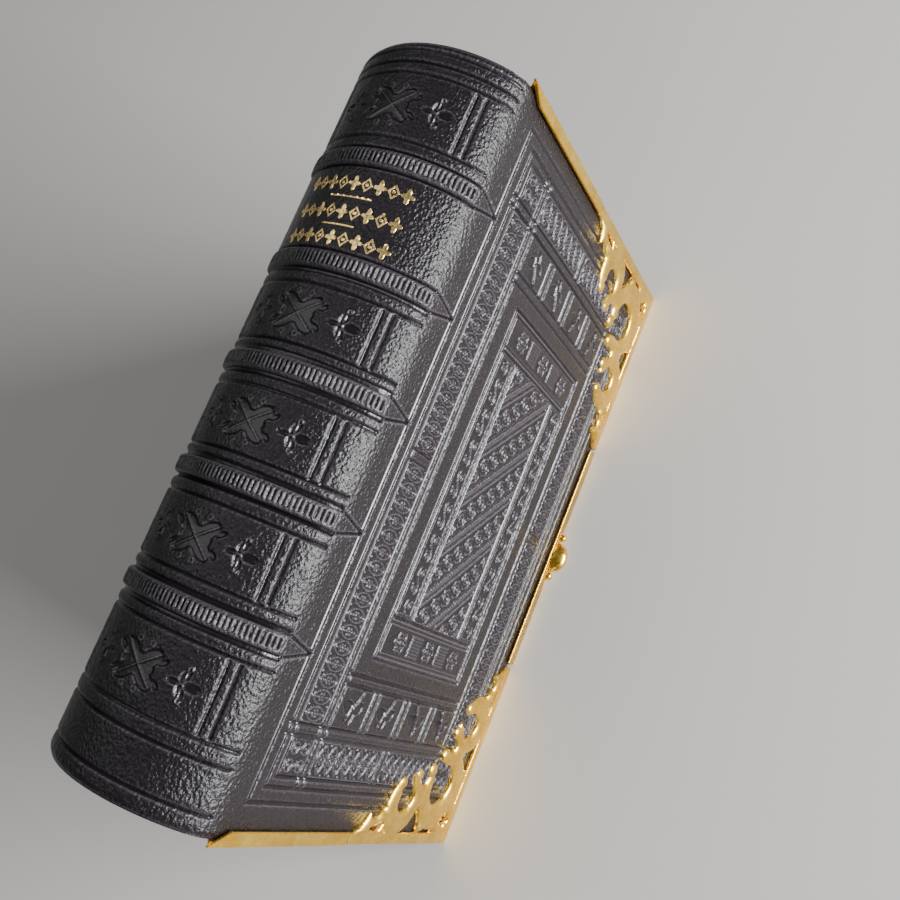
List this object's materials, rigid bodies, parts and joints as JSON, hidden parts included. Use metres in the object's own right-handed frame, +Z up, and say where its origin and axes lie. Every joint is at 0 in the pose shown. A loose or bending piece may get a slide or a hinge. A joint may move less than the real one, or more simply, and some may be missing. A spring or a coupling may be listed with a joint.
{
  "type": "prayer book",
  "caption": "Thick small book standing on its fore edge: black tooled leather, rounded spine with raised bands, brass rims, pierced corner castings and a fore-edge clasp.",
  "frame": {"origin": "middle of the object's bounding box, on the floor it stands on by its fore edge", "axes": "+X out of the front cover, +Y towards the head, +Z up towards the spine"},
  "size_m": [0.0558, 0.18, 0.1238],
  "materials": {
    "leather": "black, semi-gloss, fine grain, blind tooled",
    "brass": "gilt, polished, lightly worn",
    "board": "matt",
    "paper": "matt",
    "leaves": "gilt edges, satin",
    "endpaper": "matt",
    "silk": "satin thread",
    "cord": "matt"
  },
  "bodies": {
    "text_block": {"gathering_01": "leaves", "gathering_02": "leaves", "gathering_03": "leaves", "gathering_04": "leaves", "gathering_05": "leaves", "gathering_06": "leaves", "gathering_07": "leaves", "gathering_08": "leaves", "gathering_09": "leaves", "gathering_10": "leaves", "spine_lining": "paper", "spine_hollow": "paper", "band_core_1": "cord", "band_core_2": "cord", "band_core_3": "cord", "band_core_4": "cord", "band_core_5": "cord", "headband": "silk", "tailband": "silk", "spine_leather": "leather"},
    "front_cover": {"front_board": "board", "front_leather": "leather", "front_pastedown": "endpaper", "front_head_rail": "brass", "front_tail_rail": "brass", "front_fore_rail": "brass", "front_head_casting": "brass", "front_tail_casting": "brass", "front_rim_pin_1": "brass", "front_rim_pin_2": "brass", "front_rim_pin_3": "brass", "front_rim_pin_4": "brass", "front_catch_plate": "brass"},
    "back_cover": {"back_board": "board", "back_leather": "leather", "back_pastedown": "endpaper", "back_head_rail": "brass", "back_tail_rail": "brass", "back_fore_rail": "brass", "back_head_casting": "brass", "back_tail_casting": "brass", "back_rim_pin_1": "brass", "back_rim_pin_2": "brass", "back_rim_pin_3": "brass", "back_rim_pin_4": "brass", "clasp_pin": "brass"},
    "clasp": {"clasp_strap": "brass", "clasp_lug": "brass"},
    "front_leaf": {"front_flyleaf": "endpaper"},
    "back_leaf": {"back_flyleaf": "endpaper"}
  },
  "joints": [
    {"name": "front_hinge", "type": "hinge", "parent": "text_block", "child": "front_cover", "pos_m": [0.02283, 0, 0.11], "axis": [0, -1, 0], "range_deg": [0, 178]},
    {"name": "back_hinge", "type": "hinge", "parent": "text_block", "child": "back_cover", "pos_m": [-0.02618, 0, 0.11], "axis": [0, 1, 0], "range_deg": [0, 178]},
    {"name": "clasp_hinge", "type": "hinge", "parent": "back_cover", "child": "clasp", "pos_m": [-0.02517, 0, 0.00115], "axis": [0, 1, 0], "range_deg": [0, 170]},
    {"name": "front_leaf_turn", "type": "hinge", "parent": "text_block", "child": "front_leaf", "pos_m": [0.01802, 0, 0.1097], "axis": [0, -1, 0], "range_deg": [0, 68]},
    {"name": "back_leaf_turn", "type": "hinge", "parent": "text_block", "child": "back_leaf", "pos_m": [-0.02138, 0, 0.1097], "axis": [0, 1, 0], "range_deg": [0, 68]}
  ],
  "couplings": [
    {"joint": "front_leaf_turn", "follows": "front_hinge", "ratio": 0.38},
    {"joint": "back_leaf_turn", "follows": "back_hinge", "ratio": 0.38}
  ]
}
